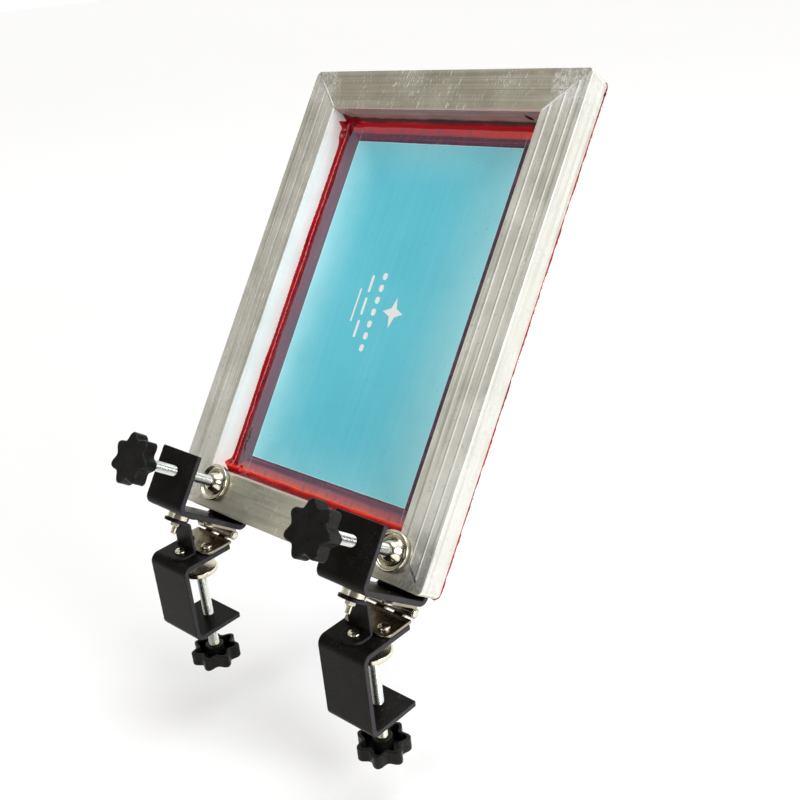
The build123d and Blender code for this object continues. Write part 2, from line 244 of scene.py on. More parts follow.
class Value:
    """One output of a node, which works like a number, a place or a colour."""

    def __init__(self, tree, socket=None):
        self.tree = tree
        self.socket = socket

    def node(self, kind, output, inputs=(), **settings):
        """The output of a new node in the same tree."""
        made = self.tree.nodes.new(kind)
        for key, setting in settings.items():
            setattr(made, key, setting)
        for key, value in dict(inputs).items():
            wire(self.tree, value, made.inputs[key])
        return Value(self.tree, made.outputs[output])

    def maths(self, operation, other=0.0):
        return self.node("ShaderNodeMath", 0, {0: self, 1: other}, operation=operation)

    def __add__(self, other):
        return self.maths("ADD", other)

    def __sub__(self, other):
        return self.maths("SUBTRACT", other)

    def __rsub__(self, other):
        return self.node("ShaderNodeMath", 0, {0: other, 1: self}, operation="SUBTRACT")

    def __mul__(self, other):
        return self.maths("MULTIPLY", other)

    def __abs__(self):
        return self.maths("ABSOLUTE")

    def most(self, other):
        return self.maths("MAXIMUM", other)

    def span(self, low, high, to_low=0.0, to_high=1.0):
        """The value carried from one range into another, held at its ends."""
        steps = {"Value": self, "From Min": low, "From Max": high, "To Min": to_low, "To Max": to_high}
        return self.node("ShaderNodeMapRange", "Result", steps)

    def varied(self, low, high):
        """A cloud's middle range carried into another."""
        return self.span(0.3, 0.7, low, high)

    def parts(self):
        """The X, Y and Z of a place or direction."""
        return [self.node("ShaderNodeSeparateXYZ", axis, {"Vector": self}) for axis in "XYZ"]

    def length(self):
        return self.node("ShaderNodeVectorMath", "Value", {0: self}, operation="LENGTH")

    def scaled(self, scale, turn=(0, 0, 0)):
        steps = {"Vector": self, "Scale": scale, "Rotation": turn}
        return self.node("ShaderNodeMapping", "Vector", steps)

    def cloud(self, scale=1.0, detail=3.0, rough=0.5, distortion=0.0):
        steps = {"Vector": self, "Scale": scale, "Detail": detail, "Roughness": rough}
        return self.node("ShaderNodeTexNoise", "Fac", {**steps, "Distortion": distortion})

    def ramp(self, *stops):
        """Colours or grey levels placed along a value from 0 to 1."""
        made = self.node("ShaderNodeValToRGB", "Color", {"Fac": self})
        marks = made.socket.node.color_ramp.elements
        while len(marks) < len(stops):
            marks.new(0.5)
        for mark, (place, colour) in zip(marks, stops):
            mark.position = place
            mark.color = (*colour, 1) if isinstance(colour, tuple) else (colour, colour, colour, 1)
        return made

    def mix(self, share, colour):
        """The colour with another over it, as far as share says."""
        colour = (*colour, 1) if isinstance(colour, tuple) else colour
        return self.node("ShaderNodeMix", 2, {0: share, 6: self, 7: colour}, data_type="RGBA")

    def bump(self, distance, strength, **under):
        """The value as a height, over the bumps of a Normal."""
        steps = {"Height": self, "Distance": distance, "Strength": strength, **under}
        return self.node("ShaderNodeBump", "Normal", steps)


class Finish:
    """A material with a Principled shader."""

    def __init__(self, name, **values):
        self.material = bpy.data.materials.new(name)
        self.material.use_nodes = True
        self.tree = self.material.node_tree
        self.give(**values)

    def give(self, **values):
        """Sets or drives the shader's sockets, named with _ for a space."""
        for name, value in values.items():
            wire(self.tree, value, self.tree.nodes["Principled BSDF"].inputs[name.replace("_", " ")])
        return self.material

    def place(self, matrix=None):
        """Object coordinates, turned into a local frame where the object itself has none."""
        here = Value(self.tree).node("ShaderNodeTexCoord", "Object")
        if matrix is None:
            return here
        back = matrix.inverted()
        steps = {"Vector": here, "Location": back.to_translation(), "Rotation": back.to_euler()}
        return here.node("ShaderNodeMapping", "Vector", steps)


def scratches(here, *seeds, thin=1700.0, long=170.0):
    """Short fine lines, in one direction for each seed, as a mask that is 0 nearly everywhere."""
    mask = None
    for seed in seeds:
        turn = (0.3 * seed, 0.5 * seed, 0.9 * seed)
        lines = here.scaled((thin, long, thin), turn).cloud(1.0, 1.0, 0.5, 0.5)
        patches = here.scaled((35, 35, 35), turn).cloud(1.0, 2.0)
        scratch = lines.span(0.64, 0.70) * patches.span(0.52, 0.60)
        mask = mask.most(scratch) if mask else scratch
    return mask


# ---------------------------------------------------------------- finishes
def rail_finish(name, along_y):
    """Brushed extrusion: drawn lines along the rail, painted highlights and shade at the grooves, smudges,
    scratches, ground corners.
    """
    look = Finish(name, Metallic=0.86)
    here = look.place(SCREEN)
    x, y, z = here.parts()
    edge_x = HALF_W - abs(x)
    edge_y = HALF_L - abs(y)
    pale, grey = (1.0, 1.0, 0.98), (0.36, 0.35, 0.28)
    inner_wall = (30.2 * MM, 30.7 * MM)
    # painted light: the side rails get paler tones than the end rails, standing in for the side light that
    # their brushed lines catch
    if along_y:
        tones = (0.58, 0.57, 0.50), (0.70, 0.69, 0.61), (0.80, 0.80, 0.73)
        low_pale_tone, low_pale_share, streaks = (1.0, 1.0, 0.96), 0.35, 0.5
        drawn, dragged = (1500, 18, 1500), (360, 4, 360)
        edge, shine = edge_x, x.span(-10 * MM, 10 * MM, 0.4, 0.9)
    else:
        tones = (0.40, 0.37, 0.28), (0.47, 0.44, 0.345), (0.58, 0.56, 0.46)
        low_pale_tone, low_pale_share, streaks = (0.80, 0.78, 0.63), 0.5, 0.22
        drawn, dragged = (18, 1500, 1500), (4, 360, 360)
        edge, shine = edge_y, 0.12
    fine = here.scaled(drawn).cloud()
    broad = here.scaled(dragged).cloud()
    smudge = here.cloud(30.0, 5.0, 0.6, 0.6)
    grime = here.cloud(210.0, 4.0, 0.65)
    swirl = here.scaled((480, 260, 480), (0, 0, 0.8)).cloud(1.0, 4.0, 0.6, 1.2)
    patch = 13 * MM  # the ground corners: how far their middles are in, and how wide they are
    from_middle = {"X": edge_x - patch, "Y": edge_y - patch, "Z": 0.0}
    away = here.node("ShaderNodeCombineXYZ", 0, from_middle).length()
    ground = (away + smudge.varied(-6 * MM, 6 * MM)).span(patch, patch + 4 * MM, 1.0, 0.0)
    tone = smudge.ramp(*zip((0.30, 0.52, 0.75), tones))
    # the lower parts are paler than the top
    tone = tone.mix(y.span(-20 * MM, -120 * MM, 0.0, low_pale_share), low_pale_tone)
    tone = tone.mix(broad.span(0.42, 0.60, 0.0, streaks), (0.88, 0.88, 0.83))
    tone = tone.mix(broad.span(0.44, 0.34, 0.0, streaks), grey)
    tone = tone.mix(grime.span(0.58, 0.70, 0.0, 0.4), (0.36, 0.35, 0.29))
    tone = tone.mix(ground * swirl.span(0.4, 0.6, 0.0, 0.8), (0.95, 0.95, 0.94))
    # painted highlight and painted shade: a pale line on each groove's lit wall and a darker line beside
    # it, stronger on the right rail, which faces the side lamp
    groove_highlight = shaded = 0.0
    for place in GROOVES:
        groove_highlight = abs(edge - place * MM).span(0.45 * MM, 0.75 * MM, 1.0, 0.0).most(groove_highlight)
        shaded = abs(edge - (place + 1.3) * MM).span(0.3 * MM, 0.7 * MM, 0.5, 0.0).most(shaded)
    groove_highlight = groove_highlight * broad.span(0.35, 0.55, 0.55, 1.0) * shine
    tone = tone.mix(shaded * shine, grey).mix(groove_highlight, pale)
    seam = abs(edge_x - edge_y).span(0.1 * MM, 0.35 * MM, 0.85, 0.0)
    tone = tone.mix(seam * z.span(-1.2 * MM, -0.8 * MM, 1.0, 0.0), (0.05, 0.045, 0.04))
    tone = tone.mix(scratches(here, 1.0, 2.3, 4.1), pale)
    if along_y:
        # the inner walls kept the dull, pale skin of the extrusion
        inside = edge_x.span(*inner_wall)
        tone = tone.mix(inside * 0.75, (0.97, 0.98, 0.97))
        tone = tone.mix(edge_x.span(0.1 * MM, 0.4 * MM, 0.55, 0.0), (0.46, 0.46, 0.43))
        look.give(Metallic=inside.span(0.0, 1.0, 0.86, 0.45) - groove_highlight * 0.45)
    else:
        # glue has been smeared thinly over the top rail's inner wall, its purplish tint partly a painted
        # reflection of the stained cloth, with a brown line low down
        inside = edge_y.span(*inner_wall) * y.span(0.0, 1 * MM)
        tone = tone.mix(inside * broad.span(0.35, 0.60, 0.15, 0.75), (0.46, 0.20, 0.24))
        low = (z + smudge.varied(-1.2 * MM, 1.2 * MM)).span(
            CLOTH_Z + 3.0 * MM, CLOTH_Z + 5.5 * MM, 0.85, 0.0
        )
        tone = tone.mix(inside * low, (0.06, 0.018, 0.008))
    surface = fine * ground.span(0.0, 1.0, 1.0, 0.2) + swirl * ground
    # the inner and outer walls are matter than the front, which has been handled and wiped
    rough = fine.varied(0.30, 0.46) + smudge.span(0.35, 0.7, -0.04, 0.12)
    rough += z.span(-3 * MM, -1 * MM, 0.2, 0.0)
    return look.give(Base_Color=tone, Roughness=rough, Normal=surface.bump(0.07 * MM, 0.5))


def weld_finish():
    look = Finish("weld_bead_metal", Metallic=1.0)
    here = look.place()
    tint = here.cloud(300.0)
    tone = tint.ramp((0.3, (0.62, 0.62, 0.62)), (0.7, (0.86, 0.86, 0.85)))
    ripples = here.cloud(1600.0, 2.0).bump(0.05 * MM, 0.5)
    return look.give(Base_Color=tone, Roughness=tint.varied(0.22, 0.4), Normal=ripples)


def glue_finish():
    """Glossy red screen adhesive, darker where it creeps up the top rail."""
    look = Finish("red_screen_glue", IOR=1.5, Specular_IOR_Level=0.2)
    here = look.place()
    x, y, z = here.parts()
    tint = here.cloud(140.0, 4.0)
    colour = tint.ramp((0.30, (0.12, 0.0, 0.004)), (0.48, (0.25, 0.0, 0.006)), (0.70, (0.38, 0.0, 0.008)))
    # beads down the sides are dark and deep, with a broken painted highlight along the middle and painted
    # shade at the inner edge
    from_side = WINDOW_W - abs(x)
    from_end = WINDOW_L - abs(y)
    wander = here.cloud(60.0).varied(-0.5 * MM, 0.5 * MM)
    bead = 6 * MM
    deep, mid = (0.10, 0.0, 0.004), (0.20, 0.0, 0.006)
    gloss = (0.41, (0.85, 0.20, 0.20)), (0.47, (0.80, 0.15, 0.16))
    outer = (0.10, (0.40, 0.01, 0.01)), (0.22, mid), (0.36, deep)
    inner = (0.52, deep), (0.70, mid), (0.84, (0.03, 0.0, 0.004))
    banded = (from_side + wander).span(0.0, bead).ramp(*outer, *gloss, *inner)
    beside = (from_end - from_side).span(0.0, 4 * MM)
    breaks = here.cloud(420.0, 2.0).span(0.40, 0.55, 0.35, 0.85)
    colour = colour.mix(beside * breaks, banded)
    at_end = (from_end + wander).span(0.0, bead)
    dark = (0.14, 0.0, 0.004)
    lower_band = at_end.ramp((0.35, dark), (0.6, (0.38, 0.004, 0.008)), (0.85, (0.88, 0.05, 0.02)))
    colour = colour.mix(y.span(7 * MM - WINDOW_L, 5 * MM - WINDOW_L, 0.0, 0.85), lower_band)
    upper_band = at_end.ramp((0.15, (0.02, 0.0, 0.002)), (0.32, dark), (0.45, (0.46, 0.0, 0.006)))
    higher = y.span(WINDOW_L - 7 * MM, WINDOW_L - 5 * MM, 0.0, 0.85)
    higher *= x.span(9 * MM - WINDOW_W, 14 * MM - WINDOW_W)
    colour = colour.mix(higher, upper_band)
    # the glue is made darker where it climbs the top rail's wall
    climb = z.span(CLOTH_Z + 1.6 * MM, CLOTH_Z + 3.2 * MM)
    climbing_dark = climb * y.span(WINDOW_L - 2.0 * MM, WINDOW_L - 1.0 * MM) * 0.85
    colour = colour.mix(climbing_dark, (0.030, 0.008, 0.004))
    lumps = here.cloud(800.0).bump(0.12 * MM, 0.6)
    return look.give(Base_Color=colour, Roughness=tint.varied(0.10, 0.22), Normal=lumps)


def torn_finish():
    """The dried skin of a torn glue edge: nearly black, with pale beige painted highlights."""
    look = Finish("torn_glue_skin", Roughness=0.35)
    grain = look.place().cloud(520.0)
    # painted highlight: the pale beige stop
    beige_highlight = (0.66, (0.50, 0.41, 0.31))
    tone = grain.ramp((0.42, (0.006, 0.004, 0.005)), (0.56, (0.020, 0.012, 0.014)), beige_highlight)
    return look.give(Base_Color=tone, Normal=grain.bump(0.1 * MM, 0.6))


def cloth_finish():
    """Polyester mesh: white where it is bare, mauve where it is stained, red where glue has soaked in."""
    look = Finish("stretched_polyester", IOR=1.5)
    here = look.place()
    x, y, _ = here.parts()
    from_side = WINDOW_W - abs(x)
    from_end = WINDOW_L - abs(y)
    sideways = here.scaled((900, 9, 1)).cloud(1.0, 4.0)
    endways = here.scaled((9, 900, 1)).cloud(1.0, 4.0)
    blot = here.cloud(45.0, 4.0, 0.6)
    wander = blot.varied(-0.7 * MM, 0.7 * MM)
    band = 20 * MM
    side = (from_side + wander).span(0.0, band)
    end = (from_end + wander * 0.4).span(0.0, band)
    red = (0.42, 0.0, 0.008)
    # painted shade: the near-black step just past the glue bead, and the dark blue last step along the
    # coat's raised edge
    side_tone = side.ramp(
        (0.0, red),
        (0.25, red),
        (0.265, (0.035, 0.002, 0.008)),
        (0.285, (0.05, 0.012, 0.025)),
        (0.32, (0.21, 0.10, 0.14)),
        (0.44, (0.150, 0.090, 0.130)),
        (0.86, (0.14, 0.10, 0.14)),
        (0.905, (0.045, 0.045, 0.085)),
    )
    # painted shade: the last dark step of this band and the next, along the coat's raised edge
    lower_tone = end.ramp(
        (0.0, red),
        (0.22, (0.85, 0.004, 0.004)),
        (0.27, (1.0, 0.11, 0.065)),
        (0.34, (0.62, 0.15, 0.13)),
        (0.56, (0.36, 0.12, 0.15)),
        (0.63, (0.17, 0.075, 0.12)),
        (0.69, (0.10, 0.06, 0.11)),
        (0.78, (0.16, 0.06, 0.10)),
        (0.86, (0.08, 0.03, 0.06)),
        (0.895, (0.025, 0.012, 0.03)),
    )
    upper_tone = end.ramp(
        (0.0, red),
        (0.24, (0.40, 0.0, 0.008)),
        (0.29, (0.66, 0.075, 0.085)),
        (0.50, (0.46, 0.08, 0.10)),
        (0.56, (0.10, 0.03, 0.06)),
        (0.66, (0.16, 0.045, 0.08)),
        (0.80, (0.09, 0.03, 0.07)),
        (0.90, (0.045, 0.02, 0.09)),
    )
    above = y.span(-1 * MM, 1 * MM)
    end_tone = lower_tone.mix(above, upper_tone)
    glow = x.span(10 * MM, 75 * MM) * end.span(0.27, 0.30) * end.span(0.56, 0.50) * above * 0.8
    end_tone = end_tone.mix(glow, (0.95, 0.07, 0.04))
    end_tone = end_tone.mix(endways.span(0.36, 0.46, 0.6, 0.0) * end.span(0.50, 0.62), (0.04, 0.02, 0.06))
    end_tone = end_tone.mix(endways.span(0.56, 0.70, 0.0, 0.4) * end.span(0.35, 0.45), (0.45, 0.16, 0.19))
    side_tone = side_tone.mix(sideways.span(0.52, 0.75, 0.0, 0.35), (0.28, 0.20, 0.27))
    # painted shadow of the right rail over the mesh beside it
    right_rail_shadow = x.span(-1 * MM, 1 * MM, 0.0, 0.8) * side.span(0.3, 0.5)
    side_tone = side_tone.mix(right_rail_shadow, (0.03, 0.004, 0.012))
    tone = end_tone.mix((from_end - from_side).span(-0.4 * MM, 0.4 * MM), side_tone)
    stain = here.scaled((150, 60, 1)).cloud(1.0, 4.0, 0.6)
    tone = tone.mix(stain.span(0.50, 0.66, 0.0, 0.45), (0.24, 0.09, 0.15))
    tone = tone.mix(stain.span(0.46, 0.34, 0.0, 0.45), (0.10, 0.11, 0.17))
    tone = tone.mix(here.cloud(650.0, 1.0).span(0.74, 0.78, 0.0, 0.5), (0.6, 0.62, 0.68))
    # the edges of the masking tape left two fine pale lines beyond the coat
    line = abs(abs(x) - COAT_W).span(0.1 * MM, 0.3 * MM, 0.55, 0.0) * from_end.span(7 * MM, 9 * MM)
    tone = tone.mix(line, (0.62, 0.60, 0.66))
    bare_x = (abs(x) - COAT_W).span(-0.2 * MM, 0.0, 1.0, 0.0)
    bare_y = (abs(y) - COAT_L).span(-0.2 * MM, 0.0, 1.0, 0.0)
    tone = tone.mix(bare_x * bare_y, (0.86, 0.87, 0.86))
    # on the rails the glue film is thinner in places, and the metal shows through as a duller red
    on_rail = from_side.maths("MINIMUM", from_end)
    film = blot.ramp((0.3, (0.20, 0.004, 0.010)), (0.5, (0.46, 0.012, 0.016)), (0.75, (0.62, 0.10, 0.09)))
    tone = tone.mix(on_rail.span(-1.2 * MM, -0.2 * MM, 1.0, 0.0), film)
    rough = on_rail.span(5 * MM, 8 * MM, 0.22, 0.5) + blot.varied(-0.05, 0.1)
    thread = 0.42 * MM
    weave = (x * (pi / thread)).maths("SINE") * (y * (pi / thread)).maths("SINE")
    woven = weave.bump(0.05 * MM, 0.35, Normal=endways.bump(0.1 * MM, 0.25))
    return look.give(Base_Color=tone, Roughness=rough, Normal=woven)


def coat_finish():
    """Dried photo emulsion: an even light blue with a soft gloss and a paler rim."""
    look = Finish("blue_emulsion", IOR=1.48)
    here = look.place()
    x, y, _ = here.parts()
    cloud = here.cloud(14.0, 4.0, 0.55)
    drag = here.scaled((260, 7, 1)).cloud()
    tone = cloud.ramp((0.25, (0.095, 0.53, 0.66)), (0.5, (0.11, 0.57, 0.70)), (0.8, (0.14, 0.61, 0.73)))
    tone = tone.mix(drag.span(0.45, 0.75, 0.0, 0.12), (0.34, 0.76, 0.84))
    rim = abs(x).span(COAT_W - 42 * MM, COAT_W).most(abs(y).span(COAT_L - 40 * MM, COAT_L, 0.0, 0.7))
    tone = tone.mix(rim.maths("POWER", 1.6) * cloud.span(0.3, 0.6, 0.55, 0.9), (0.40, 0.84, 0.94))
    tone = tone.mix(x.span(20 * MM, COAT_W, 0.0, 0.35), (0.36, 0.86, 0.96))
    edge_x = abs(x).span(COAT_W - 0.9 * MM, COAT_W - 0.2 * MM)
    edge_y = abs(y).span(COAT_L - 0.9 * MM, COAT_L - 0.2 * MM)
    tone = tone.mix(edge_x.most(edge_y) * 0.6, (0.66, 0.90, 0.95))
    tone = tone.mix(here.cloud(420.0, 1.0).span(0.75, 0.79, 0.0, 0.4), (0.06, 0.30, 0.38))
    weave = here.cloud(2100.0, 1.0).bump(0.03 * MM, 0.25)
    return look.give(Base_Color=tone, Roughness=drag.varied(0.38, 0.5), Normal=weave)


def black_finish():
    """Powder-coated steel: faint orange peel, dust and rubbed spots."""
    look = Finish("black_powder_coat", IOR=1.42, Specular_IOR_Level=0.08, Specular_Tint=(1.0, 0.93, 0.8, 1))
    here = look.place()
    wear = here.cloud(60.0, 5.0, 0.65)
    tone = wear.ramp((0.35, (0.0045, 0.0042, 0.0036)), (0.65, (0.0085, 0.0080, 0.0070)))
    tone = tone.mix(here.cloud(520.0, 2.0).span(0.70, 0.78, 0.0, 0.6), (0.05, 0.05, 0.046))
    # the plates' cut edges, which face along X, are paler
    facing = here.node("ShaderNodeNewGeometry", "Normal").parts()[0]
    tone = tone.mix(abs(facing).span(0.6, 0.9), (0.034, 0.033, 0.036))
    tone = tone.mix(scratches(here, 0.7, 1.9) * 0.16, (0.22, 0.22, 0.21))
    rounded = here.node("ShaderNodeBevel", "Normal", {"Radius": 0.5 * MM}, samples=6)
    peel = here.cloud(900.0, 2.0).bump(0.06 * MM, 0.3, Normal=rounded)
    return look.give(Base_Color=tone, Roughness=wear.varied(0.26, 0.38), Normal=peel)


def nickel_finish(name, dark, light, stain):
    """Plated steel: a clear tone with a warm tarnish and handling marks, with painted shade in its
    crevices.
    """
    look = Finish(name, Metallic=1.0)
    here = look.place()
    cloud = here.cloud(85.0, 4.0, 0.6, 0.4)
    tone = cloud.ramp((0.3, dark), (0.7, light))
    tone = tone.mix(here.cloud(260.0).span(0.60, 0.74, 0.0, 0.5), stain)
    # painted shade: ambient occlusion darkens crevices and recesses
    crevice_shade_ao = here.node("ShaderNodeAmbientOcclusion", "AO", {"Distance": 3.0 * MM}, samples=8)
    tone = tone.mix(crevice_shade_ao.span(0.35, 0.85, 0.75, 0.0), (0.02, 0.017, 0.012))
    rough = cloud.varied(0.12, 0.24) + scratches(here, 1.3, thin=3200.0, long=200.0) * 0.2
    return look.give(Base_Color=tone, Roughness=rough, Normal=here.cloud(700.0, 2.0).bump(0.03 * MM, 0.25))


def zinc_finish():
    """Zinc-plated screws: bright, with a faint blue and yellow passivation."""
    look = Finish("bright_zinc", Metallic=1.0)
    here = look.place()
    tint = here.cloud(130.0)
    tone = tint.ramp((0.30, (0.72, 0.76, 0.76)), (0.52, (0.80, 0.82, 0.78)), (0.72, (0.76, 0.74, 0.56)))
    tone = tone.mix(here.cloud(900.0, 2.0).span(0.60, 0.72, 0.0, 0.2), (0.55, 0.56, 0.54))
    grain = here.cloud(1500.0, 2.0).bump(0.03 * MM, 0.3)
    return look.give(Base_Color=tone, Roughness=tint.varied(0.24, 0.34), Normal=grain)


def knob_finish():
    """Moulded glass-filled plastic: satin black with a fine texture and a few pale rubs."""
    tint = (1.0, 0.95, 0.85, 1)
    look = Finish("moulded_black_plastic", IOR=1.42, Specular_IOR_Level=0.17, Specular_Tint=tint)
    here = look.place()
    cloud = here.cloud(120.0, 4.0)
    tone = cloud.ramp((0.35, (0.0050, 0.0050, 0.0046)), (0.7, (0.0095, 0.0095, 0.0090)))
    tone = tone.mix(scratches(here, 2.7) * 0.12, (0.3, 0.3, 0.3))
    texture = here.cloud(2400.0, 2.0).bump(0.03 * MM, 0.4)
    return look.give(Base_Color=tone, Roughness=cloud.varied(0.26, 0.38), Normal=texture)


def ferrite_finish():
    look = Finish("sintered_ferrite", Metallic=0.2)
    grain = look.place().cloud(1500.0, 4.0)
    tone = grain.ramp((0.3, (0.02, 0.02, 0.022)), (0.7, (0.06, 0.06, 0.065)))
    return look.give(Base_Color=tone, Roughness=grain.varied(0.45, 0.65), Normal=grain.bump(0.05 * MM, 0.5))


side_rail_metal = rail_finish("brushed_side_rail", True)
end_rail_metal = rail_finish("brushed_end_rail", False)
weld_metal = weld_finish()
red_glue = glue_finish()
torn_skin = torn_finish()
cloth_weave = cloth_finish()
blue_coat = coat_finish()
black_coat = black_finish()
dark_nickel = nickel_finish("dark_nickel", (0.24, 0.215, 0.165), (0.38, 0.34, 0.27), (0.20, 0.15, 0.08))
bright_nickel = nickel_finish("bright_nickel", (0.64, 0.60, 0.47), (0.80, 0.76, 0.63), (0.48, 0.41, 0.24))
zinc = zinc_finish()
black_plastic = knob_finish()
ferrite = ferrite_finish()

# Finishes of the CAD nodes that stay in view, by the end of the node's name.
CAD_FINISHES = (
    (side_rail_metal, ("left_rail", "right_rail")),
    (end_rail_metal, ("bottom_rail", "top_rail")),
    (black_coat, ("table_bracket", "frame_bracket", "magnet_bracket")),
    (dark_nickel, ("lower_leaf", "upper_leaf")),
    (bright_nickel, ("hinge_pin", "magnet_cup", "magnet_nut")),
    (ferrite, ("magnet_disc",)),
    (black_plastic, ("table_knob", "frame_knob")),
)


def finish_cad_nodes():
    """Gives every CAD node that stays in view its finish."""
    for node, piece in nodes.items():
        for finish, names in CAD_FINISHES:
            if node.endswith(names):
                piece.data.materials.clear()
                piece.data.materials.append(finish)


# ---------------------------------------------------------------- the mesh cloth, its coat and its glue
def ragged(x, y, most):
    """A small uneven length, fixed by place."""
    coarse = noise.noise(Vector((x * 160, y * 160, 3.1)))
    fine = noise.noise(Vector((x * 900, y * 900, 7.7)))
    return most * max(0.0, 0.45 + 0.6 * coarse + 0.5 * fine)


def add_cloth():
    """The stretched mesh: flat and tight, glued over the rails' backs and cut off a little unevenly."""
    step = 2 * MM
    columns, rows = ceil(HALF_W / step), ceil(HALF_L / step)
    cells = {(i, j) for i in range(-columns, columns) for j in range(-rows, rows)}
    grid, faces = relief(cells, step, lambda x, y: CLOTH_Z, CLOTH_Z - CLOTH)
    vertices = []
    for grid_x, grid_y, z in grid:
        x, y = held(grid_x, HALF_W), held(grid_y, HALF_L)
        fringe = ragged(x, y, 1.1 * MM)
        at_x, at_y = x != grid_x, y != grid_y
        x += copysign(fringe, x) if at_x else 0.0
        y += copysign(fringe, y) if at_y else 0.0
        over_x = abs(x) - (HALF_W - CORNER)
        over_y = abs(y) - (HALF_L - CORNER)
        if over_x > 0 and over_y > 0:
            trim = 1 - max(over_x, over_y) / hypot(over_x, over_y)
            x -= copysign(over_x * trim, x)
            y -= copysign(over_y * trim, y)
        vertices.append((x, y, z))
    cloth = new_piece("stretched_mesh", vertices, faces, SCREEN, "screen", "mesh_fabric", cloth_weave, 40)
    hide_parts("mesh")
    return cloth


def add_thread_ends():
    """Cut ends of the mesh's threads, which stand out a little past the rails' back edge."""
    random.seed(11)
    vertices, faces = [], []
    count, tucked, thick = 230, 1.5 * MM, 0.11 * MM
    for _ in range(count):
        along_side = random.random() < HALF_L / (HALF_L + HALF_W)
        sign = random.choice((-1, 1))
        place = random.uniform(-0.97, 0.97)
        if along_side:
            start, out = Vector((sign * HALF_W, place * HALF_L, 0)), Vector((sign, 0, 0))
        else:
            start, out = Vector((place * HALF_W, sign * HALF_L, 0)), Vector((0, sign, 0))
        start.z = CLOTH_Z - CLOTH * random.uniform(0.3, 0.8)
        start -= out * tucked
        lean = Vector((random.uniform(-0.5, 0.5), random.uniform(-0.5, 0.5), random.uniform(-0.25, 0.15)))
        length = tucked + random.uniform(0.8, 2.0) * MM
        side = Vector((0, 0, 1)).cross(out)
        first = len(vertices)
        for step in range(5):
            share = step / 4
            centre = start + out * length * share + lean * (0.9 * MM * share**2)
            size = thick * (1 - 0.35 * share)
            for across, up in ((-1, -1), (1, -1), (1, 1), (-1, 1)):
                vertices.append(centre + side * across * size + Vector((0, 0, up * size)))
        faces += tube(vertices, 4, first)
    return glue_piece("mesh_thread_ends", vertices, faces, red_glue, 50)


# Places where the glue climbs a wall: wall, place along it, height, half length, all millimetres in
# the screen's frame; the place counts from the middle of the wall.
GLUE_CLIMBS = (
    ("left", 140.5, 7.0, 2.4),
    ("left", 133, 3.0, 6.0),
    ("left", -140.5, 5.6, 3.4),
    ("left", -60, 0.7, 16.0),
    ("left", 40, 0.6, 20.0),
    ("top", -94, 7.4, 3.6),
    ("top", -84, 3.4, 6.0),
    ("top", -20, 0.5, 15.0),
    ("bottom", -92, 2.2, 5.0),
    ("right", 143, 4.5, 3.5),
    ("right", -143, 3.5, 4.0),
    ("right", -30, 0.8, 18.0),
    ("bottom", 90, 2.5, 5.0),
    ("top", 92, 2.6, 3.0),
)
# Rounded runs on top of the bead: x, y, radius along x, radius along y, height, in millimetres.
GLUE_RUNS = (
    (-85.6, -137.5, 1.7, 9.0, 1.5),
    (-85.0, -144.2, 2.6, 2.4, 1.7),
    (-92.6, -141.0, 2.2, 3.2, 1.6),
    (-91.0, 137.5, 2.4, 7.0, 1.4),
    (-84.0, 142.5, 6.5, 2.0, 1.2),
    (-76.0, -143.5, 3.0, 1.2, 0.7),
    (-90.8, 90.0, 1.1, 12.0, 0.5),
    (-90.6, 20.0, 1.0, 18.0, 0.45),
    (-90.7, -70.0, 1.1, 15.0, 0.5),
    (88.0, -141.0, 3.0, 4.0, 1.3),
    (90.0, 140.0, 3.0, 4.0, 1.4),
)


def glue_height(x, y):
    """The glue's height above the cloth at a place inside the window; below 0 where there is none."""
    total = 0.0
    lowest = -0.3 * MM
    for wall, away, place, seed in (
        ("left", x + WINDOW_W, y, 1.0),
        ("right", WINDOW_W - x, y, 2.0),
        ("bottom", y + WINDOW_L, x, 3.0),
        ("top", WINDOW_L - y, x, 4.0),
    ):
        swell = noise.noise(Vector((place * 45, seed, 0)))
        bite = noise.noise(Vector((place * 420, seed, 5)))
        tooth = noise.noise(Vector((place * 1100, seed, 9)))
        width = (4.9 + 0.5 * swell + 0.4 * bite) * MM
        top = (2.5 + 0.5 * swell + 0.3 * bite + 0.3 * tooth) * MM
        share = 1 - away / width
        ridge = copysign(top * abs(share) ** 1.7, share)
        if wall in ("left", "right"):
            rope = bell(away - (2.5 + 0.5 * swell) * MM, 0.75 * MM)
            ridge += (0.62 + 0.35 * tooth + 0.3 * bite) * MM * rope
        for on, at, tall, half in GLUE_CLIMBS:
            if on == wall:
                spread = bell(place - at * MM, half * MM)
                ridge += tall * MM * spread * max(0.0, 1 - (away / (2.3 * MM)) ** 2)
        total += max(ridge, 0.0) ** 3
        lowest = max(lowest, min(ridge, 0.0))
    height = total ** (1 / 3) if total > 0 else lowest
    for run_x, run_y, radius_x, radius_y, tall in GLUE_RUNS:
        off = ((x / MM - run_x) / radius_x) ** 2 + ((y / MM - run_y) / radius_y) ** 2
        if off < 4:
            height += tall * MM * exp(-1.6 * off)
    return height


def add_glue():
    """The red bead around the inside, where the mesh meets the rails."""
    step = 0.5 * MM
    widest = 8 * MM
    columns, rows = floor(WINDOW_W / step), floor(WINDOW_L / step)
    cells = set()
    for i in range(-columns - 1, columns + 1):
        for j in range(-rows - 1, rows + 1):
            x, y = (i + 0.5) * step, (j + 0.5) * step
            edge = min(WINDOW_W - abs(x), WINDOW_L - abs(y))
            if edge < widest and glue_height(x, y) > -0.10 * MM:
                cells.add((i, j))

    def top(x, y):
        return CLOTH_Z + max(-0.1 * MM, glue_height(held(x, WINDOW_W), held(y, WINDOW_L)))

    vertices, faces = relief(cells, step, top, CLOTH_Z - 0.15 * MM)
    inside = [(held(x, WINDOW_W), held(y, WINDOW_L), z) for x, y, z in vertices]
    bead = glue_piece("glue_fillet", inside, faces, red_glue, 60)
    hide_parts("glue_bead")


